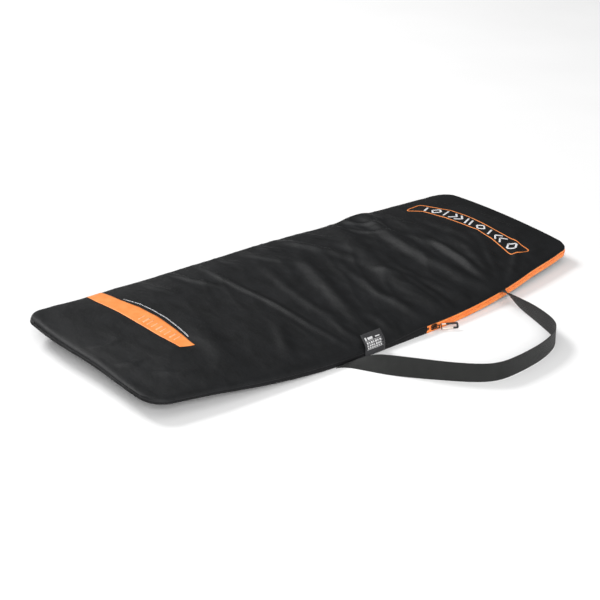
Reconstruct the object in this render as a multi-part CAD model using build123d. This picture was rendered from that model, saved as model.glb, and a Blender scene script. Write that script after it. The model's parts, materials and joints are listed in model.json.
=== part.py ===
from build123d import *
import os
from math import sqrt

# Padded board bag, closed and lying on its bottom panel.
# +X runs lengthwise towards the zip end, +Y across, +Z up; the origin is on the floor
# under the middle of the bag. All sizes are in millimetres.

# ---------------------------------------------------------------- driving dimensions
HALF_LENGTH = 725.0        # origin to either end
END_BULGE = 3.0            # how far each end edge bows out at its middle
HALF_MID_WIDTH = 344.0     # half the width along the straight middle
HALF_SEWN_END = 281.0      # half the width at the sewn end (-X)
HALF_ZIP_END = 243.0       # half the width at the zip end (+X)
SEWN_CORNER_R = 58.0
ZIP_CORNER_R = 70.0
NEAR_ZIP_CORNER_R = 44.0   # the tighter corner on the handle's side
STRAIGHT_HALF = 100.0      # the sides are straight and the base is flat within this of the middle
END_RISE = 37.0            # how far the ends stand off the floor

WALL_HEIGHT = 24.0         # floor to top skin at the edge
SKIN = 1.2                 # outer fabric
FOAM = 5.0
LINING = 0.8
LAYER_GAP = 0.3            # clearance between layers
INNER_INSET = 3.4          # foam and lining stop this far inside the outline
ARCH_MARGIN = 12.0         # flat rim of the top panel before it arches
CROWNS = [                 # (x, height of the arch above the rim)
    (-725, 0.4), (-712, 0.4), (-640, 9), (-540, 15), (-430, 19), (-300, 22), (-150, 22), (0, 22),
    (150, 22), (300, 22), (430, 19), (540, 15), (640, 9), (712, 0.4), (725, 0.4),
]

PIPING_LOW = (1.5, 3.9)    # lower and upper edge of each band, above the base curve
LOWER_TAPE = (4.2, 11.9)
UPPER_TAPE = (12.3, 20.0)
LOWER_COIL = (9.4, 11.9)
UPPER_COIL = (12.3, 14.8)
PIPING_HIGH = (20.3, 22.4)
PIPING_INSETS = (0.0, 2.6)
TAPE_INSETS = (0.8, 1.8)
COIL_INSETS = (-0.9, 0.8)
WALL_INSETS = (0.2, 1.6)
ZIP_START_X = 80.0         # the zip begins here on the near side (-Y)
FOLD_X = 480.0             # the zipped end folds up here; the far side's zip ends here too
FOLD_GAP = 0.4

SLIDER_X = 104.0           # middle of the slider
SLIDER_LENGTH = 21.0
SLIDER_HEIGHT = 14.6
SLIDER_PLATE = 1.4
SLIDER_CLEARANCE = 0.6
PULL_ANGLE = -29.0         # the pull points out from the bag by this much
TAB_LENGTH = 12.0
PULL_CORD_D = 2.8
CLAMP_OFFSET = 3.8         # tab end to the middle of the clamp, where the cord folds
PULL_CORD_REACH = 42.0
PULL_LOOP_WIDTH = 12.0
PULL_ROLL = 50.0           # the loop leans over about its own length
GRIP_SIZE = 4.4
GRIP_REACH = 30.0
GRIP_RETURN = 8.0          # how far the grip comes back along the lower strand

STRAP_WIDTH = 50.0
STRAP_THICK = 2.0
# Lower and upper edge of the webbing, from the sewn side to the zip side. It comes out low and
# tilted, stands on its edge on the floor for most of its way, and ends pinched at the top seam.
STRAP_EDGES = [
    ((-205, -350, 1.2), (-157, -352, 9)),
    ((-176, -405, 1), (-140, -392, 32)),
    ((-145, -460, 1), (-124, -447, 44)),
    ((-104, -512, 1), (-96, -505, 50)),
    ((-65, -557, 1), (-62, -555, 51)),
    ((-25, -600, 1), (-24, -599, 51)),
    ((12, -630, 1), (12, -630, 51)),
    ((50, -643, 1), (50, -643, 51)),
    ((100, -643, 1), (100, -643, 51)),
    ((150, -639, 1), (150, -639, 51)),
    ((192, -633, 1), (192, -633, 51)),
    ((235, -622, 1), (235, -622, 51)),
    ((275, -605, 1), (275, -605, 51)),
    ((304, -583, 1), (302, -583, 51)),
    ((322, -553, 1), (319, -554, 51)),
    ((337, -512, 1), (332, -514, 51)),
    ((357, -455, 1), (345, -460, 49)),
    ((371, -400, 4), (351, -412, 46)),
    ((381, -362, 14), (359, -368, 42)),
    ((386, -330, 28), (366, -332, 32)),
]
TACK_LEFT_X = (-203.0, -159.0)
TACK_RIGHT_X = (365.0, 387.0)

LABEL_X = (-133.0, -68.0)
LABEL_THICK = 0.8
LABEL_PROFILE = [(-347.2, 3.0), (-346.4, 26.5), (-323.0, 53.0)]  # (y, z) from its sewn edge up

os.makedirs("parts", exist_ok=True)


# ---------------------------------------------------------------- curves of the whole bag
def arc_drop(distance, radius):
    return radius - sqrt(radius ** 2 - distance ** 2)


def arc_radius(run, drop):
    return (run ** 2 + drop ** 2) / (2 * drop)


RUN = HALF_LENGTH - STRAIGHT_HALF
ZIP_SIDE_R = arc_radius(RUN, HALF_MID_WIDTH - HALF_ZIP_END)
SEWN_SIDE_R = arc_radius(RUN, HALF_MID_WIDTH - HALF_SEWN_END)
ROCKER_R = arc_radius(RUN, END_RISE)


def half_width(x, inset=0.0):
    radius = ZIP_SIDE_R if x > 0 else SEWN_SIDE_R
    return HALF_MID_WIDTH - inset - arc_drop(max(0.0, abs(x) - STRAIGHT_HALF), radius - inset)


def rocker(x):
    return arc_drop(max(0.0, abs(x) - STRAIGHT_HALF), ROCKER_R)


# ---------------------------------------------------------------- building blocks
def outline(inset=0.0):
    """Plan shape of the bag as a face, moved in from the edge by inset."""
    mid_width = HALF_MID_WIDTH - inset
    corner_x = HALF_LENGTH - END_BULGE - inset
    mid_x = STRAIGHT_HALF + RUN / 2
    edges = []
    for side in (-1, 1):
        edges.append(Line((-STRAIGHT_HALF, side * mid_width), (STRAIGHT_HALF, side * mid_width)))
        for end in (-1, 1):
            edges.append(ThreePointArc(
                (end * STRAIGHT_HALF, side * mid_width),
                (end * mid_x, side * half_width(end * mid_x, inset)),
                (end * corner_x, side * half_width(end * corner_x, inset))))
    for end in (-1, 1):
        corner_y = half_width(end * corner_x, inset)
        edges.append(ThreePointArc(
            (end * corner_x, -corner_y),
            (end * (HALF_LENGTH - inset), 0),
            (end * corner_x, corner_y)))
    face = make_face(edges)
    radii = ((-1, -1, SEWN_CORNER_R), (-1, 1, SEWN_CORNER_R), (1, -1, NEAR_ZIP_CORNER_R), (1, 1, ZIP_CORNER_R))
    for end, side, radius in radii:
        corners = [v for v in face.vertices() if abs(v.X - end * corner_x) < 1 and side * v.Y > 100]
        face = fillet(corners, radius - inset)
    return face


def prism(face):
    return extrude(face, amount=200)


def slab(low, high):
    """Everything between two heights above the base curve."""
    reach = HALF_LENGTH + 15
    mid = (reach + STRAIGHT_HALF) / 2
    edges = []
    for height in (low, high):
        edges.append(Line((-STRAIGHT_HALF, height), (STRAIGHT_HALF, height)))
        for end in (-1, 1):
            edges.append(ThreePointArc(
                (end * STRAIGHT_HALF, height),
                (end * mid, height + rocker(mid)),
                (end * reach, height + rocker(reach))))
    for end in (-1, 1):
        edges.append(Line((end * reach, low + rocker(reach)), (end * reach, high + rocker(reach))))
    profile = Plane.XZ * make_face(edges)
    return extrude(profile, amount=HALF_MID_WIDTH + 60, both=True)


def sheet(inset, low, high):
    return prism(outline(inset)) & slab(low, high)


def ring(insets, heights):
    return (prism(outline(insets[0])) - prism(outline(insets[1]))) & slab(*heights)


def arch_section(x, crown, drop, thickness):
    """Cross-section of a top layer: a flat rim each side and an arch between."""
    rim = half_width(x) + 8
    start = half_width(x) - ARCH_MARGIN
    top = WALL_HEIGHT + rocker(x) - drop
    edges = []
    for z in (top, top - thickness):
        edges.append(Line((x, -rim, z), (x, -start, z)))
        edges.append(ThreePointArc((x, -start, z), (x, 0, z + crown), (x, start, z)))
        edges.append(Line((x, start, z), (x, rim, z)))
    for side in (-1, 1):
        edges.append(Line((x, side * rim, top), (x, side * rim, top - thickness)))
    return Face(Wire(edges))


def top_layer(inset, drop, thickness):
    sections = [arch_section(x, crown, drop, thickness) for x, crown in CROWNS]
    sections[0] = sections[0].moved(Location((-5, 0, 0)))
    sections[-1] = sections[-1].moved(Location((5, 0, 0)))
    return loft(sections, ruled=True) & prism(outline(inset))


def block(x0, x1, y0, y1, z0=-10, z1=220):
    return Pos((x0 + x1) / 2, (y0 + y1) / 2, (z0 + z1) / 2) * Box(x1 - x0, y1 - y0, z1 - z0)


REACH = 900.0
REAR = block(-REACH, FOLD_X - FOLD_GAP / 2, -REACH, REACH)
FLAP = block(FOLD_X + FOLD_GAP / 2, REACH, -REACH, REACH)
ZIP_NEAR = block(ZIP_START_X, REACH, -REACH, 0)
ZIP_FAR = block(FOLD_X, REACH, -1, REACH)
SEWN_NEAR = block(-REACH, ZIP_START_X - FOLD_GAP, -REACH, 0)
SEWN_FAR = block(-REACH, FOLD_X - FOLD_GAP / 2, -1, REACH)


def solids_of(shape):
    return [s for s in shape.solids() if s.volume > 0.5]


def save(name, *shapes):
    solids = []
    for shape in shapes:
        solids += solids_of(shape)
    whole = solids[0] if len(solids) == 1 else Compound(children=solids)
    whole.label = name
    export_step(whole, f"parts/{name}.step")


# ---------------------------------------------------------------- bottom panel
def make_bottom():
    z = SKIN
    save("bottom_shell", sheet(0, 0, z))
    z += LAYER_GAP
    save("bottom_foam", sheet(INNER_INSET, z, z + FOAM))
    z += FOAM + LAYER_GAP
    save("bottom_lining", sheet(INNER_INSET, z, z + LINING))
    save("lower_piping", ring(PIPING_INSETS, PIPING_LOW))


# ---------------------------------------------------------------- top panel, in two parts
def make_top():
    foam_drop = SKIN + LAYER_GAP
    lining_drop = foam_drop + FOAM + LAYER_GAP
    layers = {
        "top_shell": top_layer(0, 0, SKIN),
        "top_foam": top_layer(INNER_INSET, foam_drop, FOAM),
        "top_lining": top_layer(INNER_INSET, lining_drop, LINING),
        "upper_piping": ring(PIPING_INSETS, PIPING_HIGH),
    }
    for name, layer in layers.items():
        save(name + "_rear", layer & REAR)
        save(name + "_flap", layer & FLAP)


# ---------------------------------------------------------------- side wall and zip
def make_wall():
    wall = ring(WALL_INSETS, (LOWER_TAPE[0], UPPER_TAPE[1]))
    save("side_wall", (wall & SEWN_NEAR) + (wall & SEWN_FAR))


def make_zip():
    bands = {
        "zip_lower_tape": (TAPE_INSETS, LOWER_TAPE),
        "zip_lower_coil": (COIL_INSETS, LOWER_COIL),
        "zip_upper_tape": (TAPE_INSETS, UPPER_TAPE),
        "zip_upper_coil": (COIL_INSETS, UPPER_COIL),
    }
    for name, (insets, heights) in bands.items():
        inner = insets[1] - (LAYER_GAP if "coil" in name else 0)
        band = ring((insets[0], inner), heights)
        if "lower" in name:
            save(name, (band & ZIP_NEAR) + (band & ZIP_FAR))
        else:
            save(name + "_rear", band & ZIP_NEAR & REAR)
            save(name + "_flap", band & FLAP)
    stop = ring((-1.8, -1.1), (LOWER_COIL[0] - 1, UPPER_COIL[1] + 1))
    save("zip_start_stop", stop & block(ZIP_START_X + 1, ZIP_START_X + 6, -REACH, 0))
    save("zip_end_stop", stop & block(FOLD_X - 7, FOLD_X - 2, 0, REACH))


# ---------------------------------------------------------------- slider and pull
def make_slider():
    wall_y = -half_width(SLIDER_X)
    mid_z = (LOWER_TAPE[1] + UPPER_TAPE[0]) / 2
    low = mid_z - SLIDER_HEIGHT / 2
    high = mid_z + SLIDER_HEIGHT / 2
    x0 = SLIDER_X - SLIDER_LENGTH / 2
    x1 = SLIDER_X + SLIDER_LENGTH / 2
    face_in = wall_y + COIL_INSETS[0] - SLIDER_CLEARANCE
    face_out = face_in - SLIDER_PLATE
    tape_y = wall_y + TAPE_INSETS[0]
    outer = block(x0, x1, face_out, face_in, low, high)
    outer = chamfer(outer.edges().filter_by(Axis.Y), 3.0)
    for z0, z1 in ((low, low + 1.2), (high - 1.2, high)):
        outer += block(x0 + 3, x1 - 3, face_in, tape_y - SLIDER_CLEARANCE, z0, z1)
    bridge_x0 = SLIDER_X - 6
    bridge_x1 = SLIDER_X + 6
    bridge = block(bridge_x0, bridge_x1, face_out - 4.4, face_out, mid_z - 2, mid_z + 2)
    hole = block(bridge_x0 + 1.6, bridge_x1 - 1.6, face_out - 3.0, face_out, mid_z - 3, mid_z + 3)
    outer += bridge - hole
    back_y = wall_y + TAPE_INSETS[1] + SLIDER_CLEARANCE
    inner = block(x0, x1, back_y, back_y + 0.9, low + 4, mid_z + 3.2)
    save("zip_slider", outer, inner)
    return face_out, mid_z


def make_pull(face_out, mid_z):
    """A stamped tab in the bridge, a doubled cord and a moulded grip around its end."""
    pin_x = SLIDER_X + 3.0
    pin_y = face_out - 1.5
    place = Location((pin_x, pin_y, mid_z), (0, 0, PULL_ANGLE))
    tab = Cylinder(0.9, 9.0)
    arm = 2.2
    for side in (-1, 1):
        tab += Pos(TAB_LENGTH / 2 - 1, 0, side * 3.9) * Box(TAB_LENGTH - 2, 1.6, arm)
    tab += Pos(TAB_LENGTH - 1.5, 0, 0) * Box(3, 1.6, 10.0)
    save("pull_tab", tab.moved(place))
    clamp_x = TAB_LENGTH + CLAMP_OFFSET
    rolled = place * Rotation(PULL_ROLL, 0, 0)
    clamp = Pos(clamp_x, 0, 0) * Box(1.6, PULL_LOOP_WIDTH + 4, 3.8)
    save("cord_clamp", clamp.moved(rolled))
    cord_x = clamp_x + 0.8
    end_x = cord_x + PULL_CORD_REACH
    cord = loop_sweep(cord_x, cord_x, end_x, Circle(PULL_CORD_D / 2))
    save("pull_cord", cord.moved(rolled))
    lower_x = end_x - GRIP_RETURN
    upper_x = end_x - GRIP_REACH
    outer = loop_sweep(lower_x, upper_x, end_x, RectangleRounded(GRIP_SIZE, GRIP_SIZE, 1.2))
    core = loop_sweep(lower_x, upper_x, end_x, Circle(PULL_CORD_D / 2 + 0.1))
    save("pull_grip", (outer - core).moved(rolled))


def loop_sweep(lower_x, upper_x, end_x, profile):
    """A profile carried out along the lower strand of the pull, round its end and back along the upper one."""
    half = PULL_LOOP_WIDTH / 2
    route = FilletPolyline(
        (lower_x, -half), (end_x, -half), (end_x, half), (upper_x, half), radius=half - 0.02)
    return sweep(Plane((lower_x, -half, 0), z_dir=(1, 0, 0)) * profile, path=route)


# ---------------------------------------------------------------- handle and label
def strap_section(index):
    low, high = (Vector(*p) for p in STRAP_EDGES[index])
    before = STRAP_EDGES[max(0, index - 1)]
    after = STRAP_EDGES[min(len(STRAP_EDGES) - 1, index + 1)]
    along = (Vector(*after[0]) + Vector(*after[1])) - (Vector(*before[0]) + Vector(*before[1]))
    across = high - low
    normal = along.cross(across).normalized() * (STRAP_THICK / 2)
    return Face(Wire.make_polygon([low - normal, high - normal, high + normal, low + normal]))


def make_handle():
    sections = [strap_section(i) for i in range(len(STRAP_EDGES))]
    save("carry_handle", loft(sections, ruled=True))
    left_y = -half_width(TACK_LEFT_X[1]) - 0.2
    save("handle_tack_left", block(*TACK_LEFT_X, left_y - 4.6, left_y, 0.6, 4.6))
    x0, x1 = TACK_RIGHT_X
    z = rocker(x0) + PIPING_HIGH[0]
    save("handle_tack_right", block(x0, x1, -half_width(x0) - 2.6, -half_width(x0) - 0.3, z, z + 3.6))


def make_label():
    """A woven tag that stands against the side and leans in over the top panel."""
    line = Polyline([(LABEL_X[0], y, z) for y, z in LABEL_PROFILE])
    start = Vector(LABEL_X[0], *LABEL_PROFILE[0])
    after = Vector(LABEL_X[0], *LABEL_PROFILE[1])
    section = Plane(start, x_dir=(1, 0, 0), z_dir=after - start)
    width = LABEL_X[1] - LABEL_X[0]
    profile = section * Rectangle(width, LABEL_THICK, align=(Align.MIN, Align.CENTER))
    save("size_label", sweep(profile, path=line, transition=Transition.RIGHT))


make_bottom()
make_top()
make_wall()
make_zip()
make_pull(*make_slider())
make_handle()
make_label()
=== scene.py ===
import json
import math

import bpy
import numpy as np
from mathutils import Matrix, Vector, noise


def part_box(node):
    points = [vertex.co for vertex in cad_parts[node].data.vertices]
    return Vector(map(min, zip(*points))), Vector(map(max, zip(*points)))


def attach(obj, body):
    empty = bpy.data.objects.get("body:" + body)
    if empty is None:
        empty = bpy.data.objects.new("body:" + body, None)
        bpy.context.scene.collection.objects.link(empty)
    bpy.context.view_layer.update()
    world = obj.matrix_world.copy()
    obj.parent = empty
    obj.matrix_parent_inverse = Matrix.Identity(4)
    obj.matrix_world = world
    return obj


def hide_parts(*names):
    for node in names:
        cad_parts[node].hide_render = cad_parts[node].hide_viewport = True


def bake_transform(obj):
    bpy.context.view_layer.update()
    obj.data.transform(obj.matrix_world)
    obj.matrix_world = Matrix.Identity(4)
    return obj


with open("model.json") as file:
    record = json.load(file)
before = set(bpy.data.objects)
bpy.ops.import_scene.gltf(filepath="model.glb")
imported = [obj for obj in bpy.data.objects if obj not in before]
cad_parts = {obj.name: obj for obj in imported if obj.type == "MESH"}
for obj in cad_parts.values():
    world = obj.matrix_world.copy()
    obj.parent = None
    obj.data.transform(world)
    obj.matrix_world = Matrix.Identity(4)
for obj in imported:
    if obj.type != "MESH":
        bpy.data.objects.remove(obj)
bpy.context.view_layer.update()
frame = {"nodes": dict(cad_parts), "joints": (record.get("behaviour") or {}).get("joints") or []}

MM = 0.001

# ------------------------------------------------------------------ sizes, in metres, as in the frame
HALF_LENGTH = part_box("bottom_shell")[1][0]
HALF_MID_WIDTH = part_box("bottom_shell")[1][1]
END_BULGE = 0.003
STRAIGHT_HALF = 0.100
END_RISE = 0.037
HALF_END = {-1: 0.281, 1: 0.243}
CORNER_R = {(-1, -1): 0.058, (-1, 1): 0.058, (1, -1): 0.044, (1, 1): 0.070}
ZIP_START_X = 0.080
FOLD_X = 0.480
SEAM_Z = 0.0215               # edge of the top cover along the zip, above the base curve
SEWN_SEAM_Z = 0.0125          # the same along the sewn side, where the cover rolls over the edge
PINCH_SEAM_Z = 0.0190         # and round the sewn end
PINCH_LIFT = 0.0110           # the bottom panel comes up to the top one at the sewn end
PINCH_THIN = 0.60             # share of the layers' thickness lost there
MOUTH_ARCH = 0.006            # the middle of the zip end stands up by this
END_SKEW = 0.014              # the sewn end reaches out further on its far side
END_WAVE = 0.003              # its edge is wavy, seen from above
END_WAVE_TURN = 17            # radians of the wave per metre across
END_WAVE_START = 0.9
NEAR_CORNER_LIFT = -0.006     # its corner near the handle sags and the other one rises
FAR_CORNER_LIFT = 0.0045
MOUTH_CORNER_DOWN = 0.013     # the zip end's corner near the handle drops and pulls out
MOUTH_CORNER_OUT = 0.008
FAR_SIDE_FULL = 0.007         # the sewn far side stands fuller than the near one
SHOULDER_Z = 0.026            # height the cover rounds up to just inside its edge
CROWN = 0.0255
COVER_THICK = 0.0012
RUN = HALF_LENGTH - STRAIGHT_HALF
SEWN_END_WIDTH = 0.56         # used to share the slack out across each end
ZIP_END_WIDTH = 0.48


# ------------------------------------------------------------------ the bag's curves
def arc_radius(run, drop):
    return (run ** 2 + drop ** 2) / (2 * drop)


def arc_drop(distance, radius):
    return radius - np.sqrt(radius ** 2 - distance ** 2)


def beyond(x):
    return np.maximum(0.0, np.abs(x) - STRAIGHT_HALF)


def rocker(x):
    return arc_drop(beyond(x), arc_radius(RUN, END_RISE))


def side_y(x):
    """Half width of the outline, with the corners left square."""
    x = np.asarray(x, float)
    zip_side = arc_drop(beyond(x), arc_radius(RUN, HALF_MID_WIDTH - HALF_END[1]))
    sewn_side = arc_drop(beyond(x), arc_radius(RUN, HALF_MID_WIDTH - HALF_END[-1]))
    return HALF_MID_WIDTH - np.where(x > 0, zip_side, sewn_side)


def half_width(x, side):
    """Half width of the outline with its rounded corners; side is -1 near the handle, 1 away from it."""
    x, side = np.broadcast_arrays(np.asarray(x, float), np.asarray(side))
    width = side_y(x)
    for (end, corner_side), radius in CORNER_R.items():
        centre = HALF_LENGTH - END_BULGE - radius
        past = np.clip(end * x - centre, 0, radius)
        rounded = side_y(end * centre) - radius + np.sqrt(radius ** 2 - past ** 2)
        here = (end * x > centre) & (side == corner_side)
        width = np.where(here, np.minimum(width, rounded), width)
    return width


def smooth(t):
    t = np.clip(t, 0, 1)
    return t * t * (3 - 2 * t)


def zipped(x, y):
    """1 along the zip, 0 along the sewn edge, with a change over 0.13 m."""
    start = np.where(np.asarray(y) < 0, ZIP_START_X, FOLD_X) - 0.135
    return smooth((np.asarray(x) - start) / 0.13)


def pinched(x):
    """1 at the sewn end, where the two panels meet in a thin edge."""
    return smooth((-np.asarray(x) - 0.22) / 0.44)


def bottom_z(x):
    return rocker(x) + PINCH_LIFT * pinched(x)


def seam_z(x, y):
    sewn = SEWN_SEAM_Z + (PINCH_SEAM_Z - SEWN_SEAM_Z) * pinched(x)
    share = zipped(x, y)
    return rocker(x) + SEAM_Z * share + sewn * (1 - share)


def level(x, y, up):
    """Height of a point of the edge, up from the bottom (0) to the seam of the cover (SEAM_Z)."""
    low = bottom_z(x)
    return low + up / SEAM_Z * (seam_z(x, y) - low)


def settle(verts):
    """The whole bag's slack: the mouth arches up, the sewn end is skewed and wavy, and three corners shift."""
    out = np.array(verts, float)
    x, y = out[:, 0], out[:, 1]
    half = np.maximum(side_y(np.clip(x, -HALF_LENGTH, HALF_LENGTH)), 1e-6)
    across = 1 - np.clip(np.abs(y) / half, 0, 1) ** 2
    out[:, 2] += MOUTH_ARCH * smooth((x - 0.48) / 0.24) * across
    sewn_end = smooth((-x - 0.55) / 0.17)
    near_share, far_share = 0.5 - y / SEWN_END_WIDTH, 0.5 + y / SEWN_END_WIDTH
    out[:, 2] += sewn_end * (NEAR_CORNER_LIFT * near_share + FAR_CORNER_LIFT * far_share)
    out[:, 0] -= sewn_end * (END_SKEW * far_share + END_WAVE * np.sin(END_WAVE_TURN * y - END_WAVE_START))
    mouth_corner = smooth((x - 0.50) / 0.22) * np.clip(0.5 - y / ZIP_END_WIDTH, 0, 1) ** 2
    out[:, 2] -= MOUTH_CORNER_DOWN * mouth_corner
    out[:, 1] -= MOUTH_CORNER_OUT * mouth_corner
    return out


# ------------------------------------------------------------------ folds of the top cover
# Each fold: its line in millimetres, then height and half width in millimetres.
FOLDS = [
    ([(428, 292), (400, 220), (363, 138), (338, 20), (326, -90), (326, -230), (352, -326)], 6.0, 27),
    ([(290, 290), (255, 170), (212, 40), (178, -90), (160, -231), (168, -320)], 5.0, 34),
    ([(70, 170), (40, 90), (5, -10), (-38, -149), (-70, -290)], 4.2, 26),
    ([(-184, 318), (-192, 200), (-190, 90), (-184, -20), (-182, -184), (-168, -325)], 2.6, 11),
    ([(-275, 305), (-262, 220), (-225, 130)], 2.4, 12),
    ([(-37, 312), (-22, 230), (20, 135)], 2.4, 14),
    ([(100, 315), (122, 230), (158, 130), (176, 10)], 3.6, 22),
    ([(303, 285), (312, 225), (328, 180), (352, 140)], 3.2, 9),
    ([(352, 300), (360, 250), (385, 205)], 2.6, 10),
    ([(486, -10), (462, -110), (425, -200), (376, -300)], 3.6, 20),
    ([(560, -40), (520, -120), (455, -215), (392, -305)], 2.2, 15),
    ([(505, 120), (520, 30), (512, -60), (470, -170)], 3.2, 22),
    ([(424, 60), (412, -40), (396, -150), (370, -270)], 3.4, 15),
    ([(640, -120), (575, -190), (500, -255), (410, -318)], 2.4, 13),
    ([(255, 40), (228, -60), (222, -150), (250, -300)], 3.4, 20),
    ([(120, 60), (95, -60), (78, -170), (96, -300)], 3.2, 20),
    ([(-60, 140), (-96, 10), (-112, -120), (-100, -260)], 2.2, 18),
    ([(168, -31), (200, -133), (200, -240), (192, -325)], 3.0, 15),
    ([(-246, -135), (-284, -207), (-327, -290)], 2.2, 20),
    ([(372, 120), (398, 50), (408, -60), (392, -180), (372, -290)], 3.6, 20),
    ([(440, 250), (452, 160), (455, 60), (446, -40)], 2.6, 26),
    ([(-423, 40), (-440, -100), (-477, -253)], 2.6, 38),
    ([(-640, -180), (-600, -215), (-560, -225)], 1.6, 14),
    ([(-690, 20), (-655, 5), (-628, 10)], 1.4, 12),
    ([(-690, -90), (-662, -110), (-632, -108)], 1.5, 12),
    ([(-120, -200), (-128, -260), (-122, -320)], 2.6, 15),
    ([(-20, -210), (-14, -270), (-18, -325)], 2.4, 16),
    ([(75, -190), (84, -255), (82, -322)], 2.0, 16),
    ([(-380, 300), (-372, 240), (-350, 170)], 1.8, 15),
    ([(200, 312), (206, 270), (228, 210)], 2.2, 12),
    ([(30, 322), (36, 280), (60, 230)], 1.6, 10),
    ([(-110, 325), (-106, 280), (-84, 220)], 1.6, 10),
    ([(640, -150), (655, -60), (658, 60), (648, 150)], 1.8, 24),
    ([(540, -215), (585, -232), (630, -228)], 2.2, 13),
]
FOLD_GAIN = 2.0
BUMP_X = 0.395                # lift of the far edge beside the first fold
BUMP_WIDE = 0.050
BUMP_HIGH = 0.0155


def fold_height(x, y):
    total = np.zeros_like(x)
    for line, height, wide in FOLDS:
        points = np.array(line) * MM
        best = np.full(x.shape, 1e9)
        along = np.zeros_like(x)
        count = len(points) - 1
        for i in range(count):
            a = points[i]
            d = points[i + 1] - a
            t = np.clip(((x - a[0]) * d[0] + (y - a[1]) * d[1]) / (d @ d), 0, 1)
            distance = np.hypot(x - a[0] - t * d[0], y - a[1] - t * d[1])
            nearer = distance < best
            best = np.where(nearer, distance, best)
            along = np.where(nearer, (i + t) / count, along)
        q = (best / (wide * MM)) ** 2
        taper = np.sin(np.pi * np.clip(along * 0.86 + 0.07, 0, 1)) ** 0.7
        total += FOLD_GAIN * height * MM * np.exp(-q) * (1 - 0.55 * q) * taper
    return total


def cloth_noise(x, y):
    """Soft unevenness and small creases, drawn out across the bag."""
    flat = np.empty(x.size)
    for i, (px, py) in enumerate(zip(x.ravel(), y.ravel())):
        broad = noise.fractal(Vector((px * 9 + py * 1.5, py * 3.4, 3.1)), 0.9, 2.0, 3)
        bend = 0.35 * noise.noise(Vector((px * 4, py * 4, 5.5)))
        crease = 1 - abs(noise.noise(Vector((px * 15 - py * 3.5 + bend * 3, py * 4.5, 9.3)))) * 2.2
        fine = 1 - abs(noise.noise(Vector((px * 34 - py * 8 + bend * 5, py * 13, 7.7)))) * 2.2
        busy = 0.35 + 0.65 * math.exp(-((px - 0.20) / 0.34) ** 2)
        flat[i] = 0.0021 * broad + busy * (0.0024 * max(crease, 0) ** 2 + 0.0009 * max(fine, 0) ** 2)
    return flat.reshape(x.shape)


def top_height(x, y):
    """Height of the top cover's outer face."""
    side = np.where(y < 0, -1, 1)
    edge = np.maximum(half_width(x, side) - np.abs(y), 0)
    inside = np.minimum(edge, np.maximum(HALF_LENGTH - np.abs(x), 0))
    seam = seam_z(x, y)
    drop = rocker(x) + SHOULDER_Z - seam
    reach = 0.005 + 1.25 * drop
    shoulder = np.sqrt(np.clip(1 - (1 - np.clip(inside / reach, 0, 1)) ** 2, 0, 1))
    across = 1 - np.clip(np.abs(y) / np.maximum(side_y(x), 1e-6), 0, 1) ** 2.3
    lengthwise = 1 - np.clip(np.abs(x) / HALF_LENGTH, 0, 1) ** 5
    z = seam + drop * shoulder + CROWN * across * lengthwise
    full = smooth((y - 0.05) / 0.22) * smooth((0.30 - x) / 0.30) * (1 - np.exp(-inside / 0.006))
    z = z + FAR_SIDE_FULL * full
    swell = (1 - np.exp(-inside / 0.010)) * np.exp(-inside / 0.055)
    z = z + BUMP_HIGH * np.exp(-((x - BUMP_X) / BUMP_WIDE) ** 2) * swell * (y > 0)
    fade = 1 - np.exp(-inside / 0.012)
    return z + (fold_height(x, y) + cloth_noise(x, y)) * fade


# ------------------------------------------------------------------ mesh helpers
def new_object(name, verts, faces, rounded=True, slack=True):
    mesh = bpy.data.meshes.new(name)
    places = settle(verts) if slack else verts
    mesh.from_pydata([tuple(map(float, v)) for v in places], [], faces)
    mesh.validate()
    obj = bpy.data.objects.new(name, mesh)
    bpy.context.collection.objects.link(obj)
    if rounded:
        mesh.shade_smooth()
    return obj


def grid_faces(rows, columns, start=0, flip=False):
    faces = []
    for i in range(rows - 1):
        for j in range(columns - 1):
            a = start + i * columns + j
            quad = [a, a + columns, a + columns + 1, a + 1]
            faces.append(quad[::-1] if flip else quad)
    return faces


def border(rows, columns):
    """Indices round the rim of a grid, in order."""
    first = [j for j in range(columns)]
    right = [i * columns + columns - 1 for i in range(1, rows)]
    last = [(rows - 1) * columns + j for j in range(columns - 2, -1, -1)]
    left = [i * columns for i in range(rows - 2, 0, -1)]
    return first + right + last + left


def closed_panel(name, top, bottom):
    """A closed solid between two grids of points of the same size."""
    rows, columns = top.shape[:2]
    count = rows * columns
    verts = np.concatenate([top.reshape(-1, 3), bottom.reshape(-1, 3)])
    faces = grid_faces(rows, columns) + grid_faces(rows, columns, count, flip=True)
    rim = border(rows, columns)
    for a, b in zip(rim, rim[1:] + rim[:1]):
        faces.append([a, b, b + count, a + count])
    return new_object(name, verts, faces)


def edge_inset(inset, extra, x, y):
    """How far a layer stays in from the edge: extra more where the edge is sewn."""
    return inset + extra * (1 - zipped(x, y))


def stations(inset, extra, step):
    """x values along the bag, closer together round the corners."""
    corner = np.linspace(0, math.pi / 2, 11)
    sewn_r, zip_r = CORNER_R[-1, 1], CORNER_R[1, 1]
    left = -(HALF_LENGTH - END_BULGE - sewn_r + (sewn_r - inset - extra) * np.sin(corner[::-1]))
    right = HALF_LENGTH - END_BULGE - zip_r + (zip_r - inset) * np.sin(corner)
    middle = np.linspace(left[-1], right[0], int((right[0] - left[-1]) / step))[1:-1]
    return np.concatenate([left, middle, right])


def cross_rows(count):
    """Fractions from -1 to 1 across the bag, closer together at the edges."""
    edge = 1 - np.array([0, 0.002, 0.006, 0.012, 0.020, 0.032])
    middle = np.linspace(-edge[-1], edge[-1], count)[1:-1]
    return np.concatenate([-edge, middle, edge[::-1]])


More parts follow.
